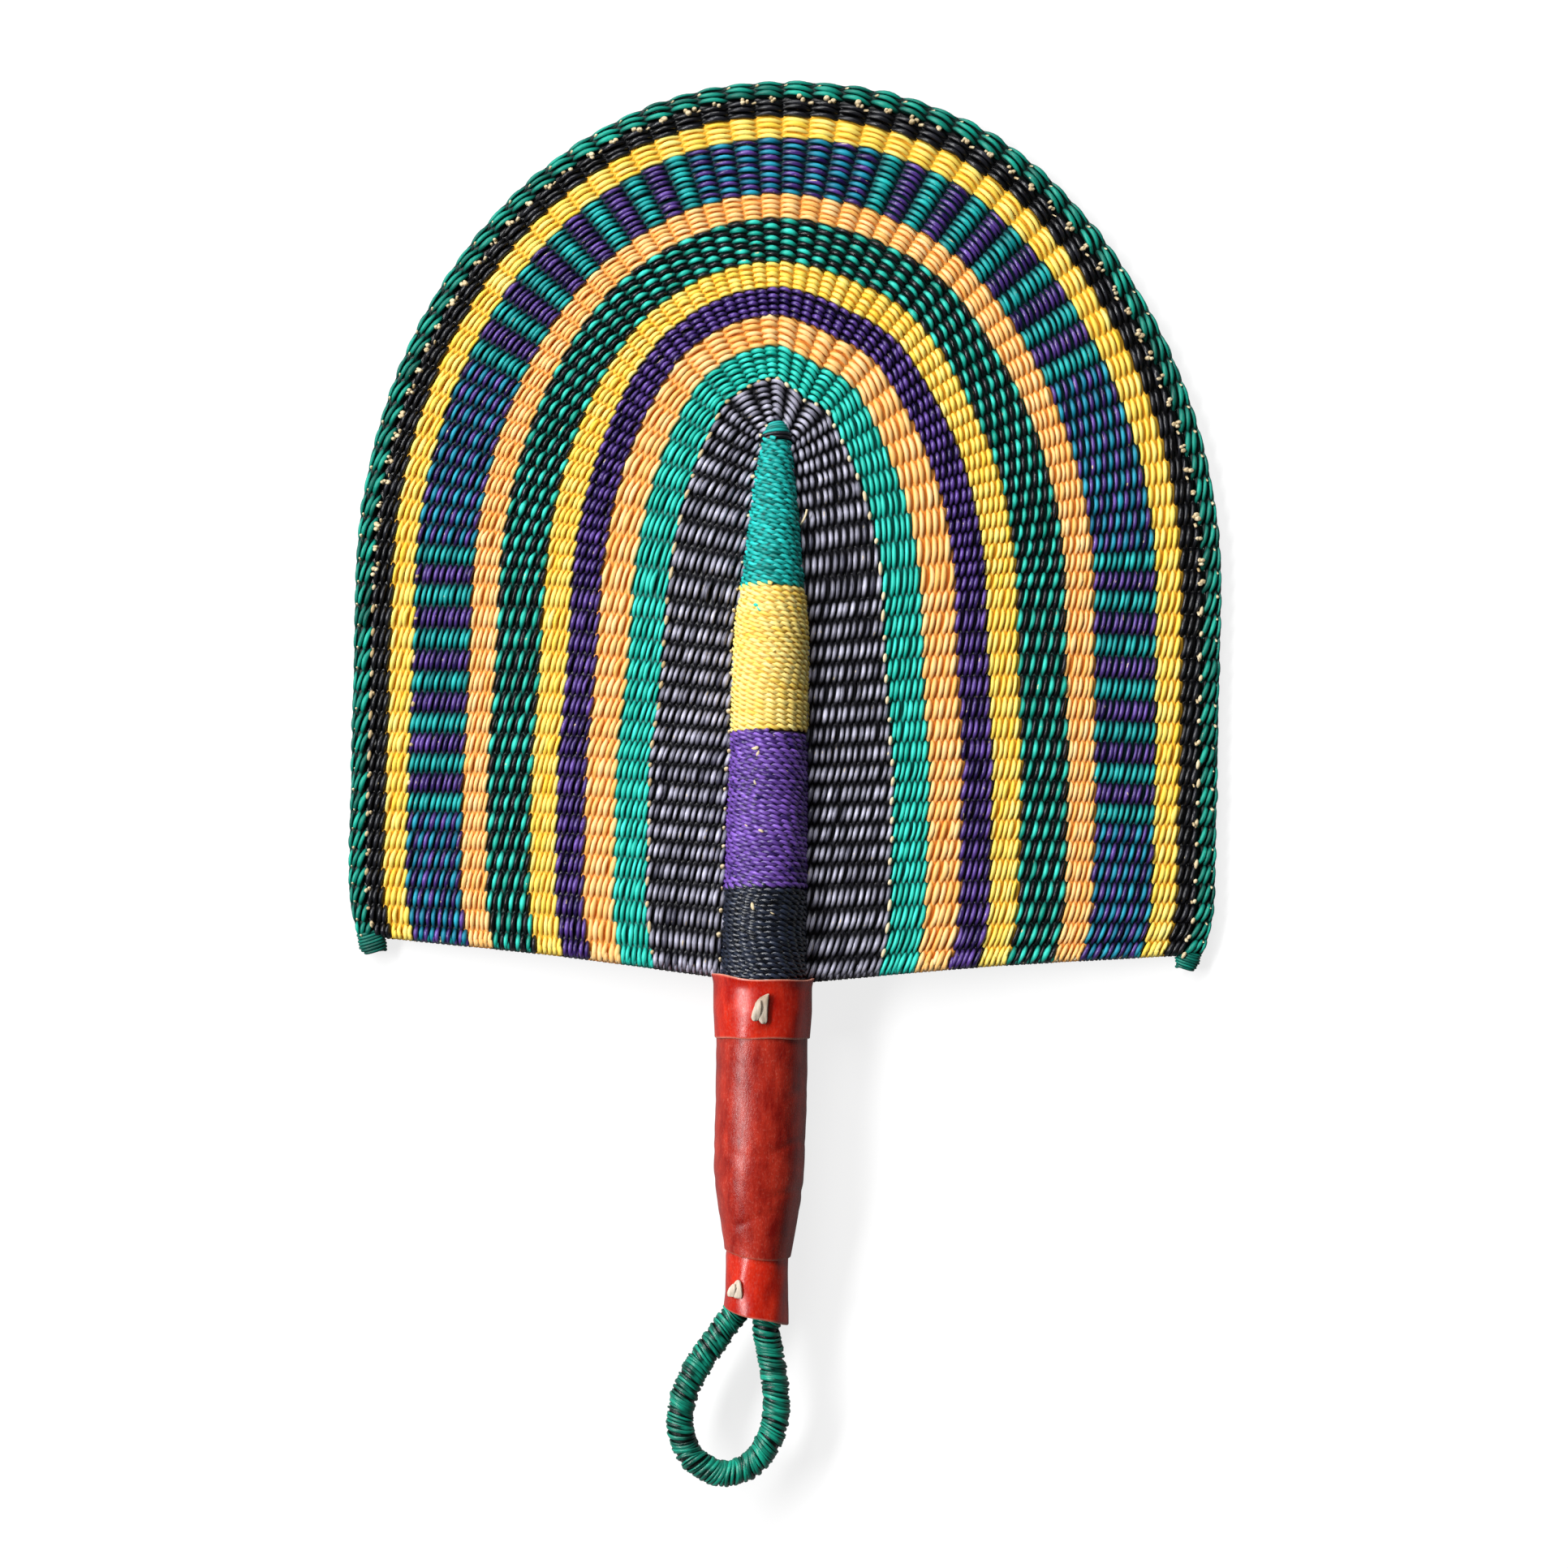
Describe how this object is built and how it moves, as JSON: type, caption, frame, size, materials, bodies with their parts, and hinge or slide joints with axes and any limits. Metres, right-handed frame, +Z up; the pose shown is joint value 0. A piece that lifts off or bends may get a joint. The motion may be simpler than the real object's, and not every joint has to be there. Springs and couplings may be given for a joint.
{
  "type": "woven grass hand fan",
  "caption": "Arched hand fan twined from dyed grass in coloured bands round a cord-wound handle, with a leather-covered grip and a wound hanging loop.",
  "frame": {"origin": "Middle of the flat under the upper collar, on which the handle rests", "axes": "X across the blade, Y along the handle from the hanging loop to the crown, Z up out of the blade's face"},
  "size_m": [0.3, 0.4849, 0.037],
  "materials": {
    "green_grass": "dark green dyed grass, satin",
    "black_grass": "black dyed grass, satin",
    "yellow_grass": "yellow dyed grass, satin",
    "check_grass": "teal and purple dyed grass in ribs and checks, satin",
    "orange_grass": "light orange dyed grass, satin",
    "green_black_grass": "green and black dyed grass, grain by grain, satin",
    "purple_grass": "dark violet dyed grass, satin",
    "teal_grass": "turquoise green dyed grass, satin",
    "cream_grass": "undyed grass, satin",
    "collar_leather": "red brown leather, polished by use, pale cut edges",
    "sleeve_leather": "red brown leather, mottled and creased",
    "rawhide": "cream rawhide lace, matt"
  },
  "bodies": {
    "fan": {"rim_braid": "green_grass", "band_black_outer": "black_grass", "band_yellow_outer": "yellow_grass", "band_check": "check_grass", "band_orange_outer": "orange_grass", "band_green_black": "green_black_grass", "band_yellow_inner": "yellow_grass", "band_purple": "purple_grass", "band_orange_inner": "orange_grass", "band_teal": "teal_grass", "band_black_field": "black_grass", "left_stakes": "cream_grass", "right_stakes": "cream_grass", "crown_stakes": "cream_grass", "teal_winding": "teal_grass", "yellow_winding": "yellow_grass", "purple_winding": "purple_grass", "black_winding": "black_grass", "tip_knot": "teal_grass", "upper_collar": "collar_leather", "leather_sleeve": "sleeve_leather", "lower_collar": "collar_leather", "upper_lace": "rawhide", "lower_lace": "rawhide"},
    "hang_loop": {"loop_core": "cream_grass", "loop_winding": "green_grass"}
  },
  "joints": [
    {"name": "loop_bend", "type": "hinge", "parent": "fan", "child": "hang_loop", "pos_m": [0, -0.10405, 0.0168], "axis": [1, 0, 0], "range_deg": [-35, 35], "stiffness_Nm_per_rad": 0.05}
  ]
}
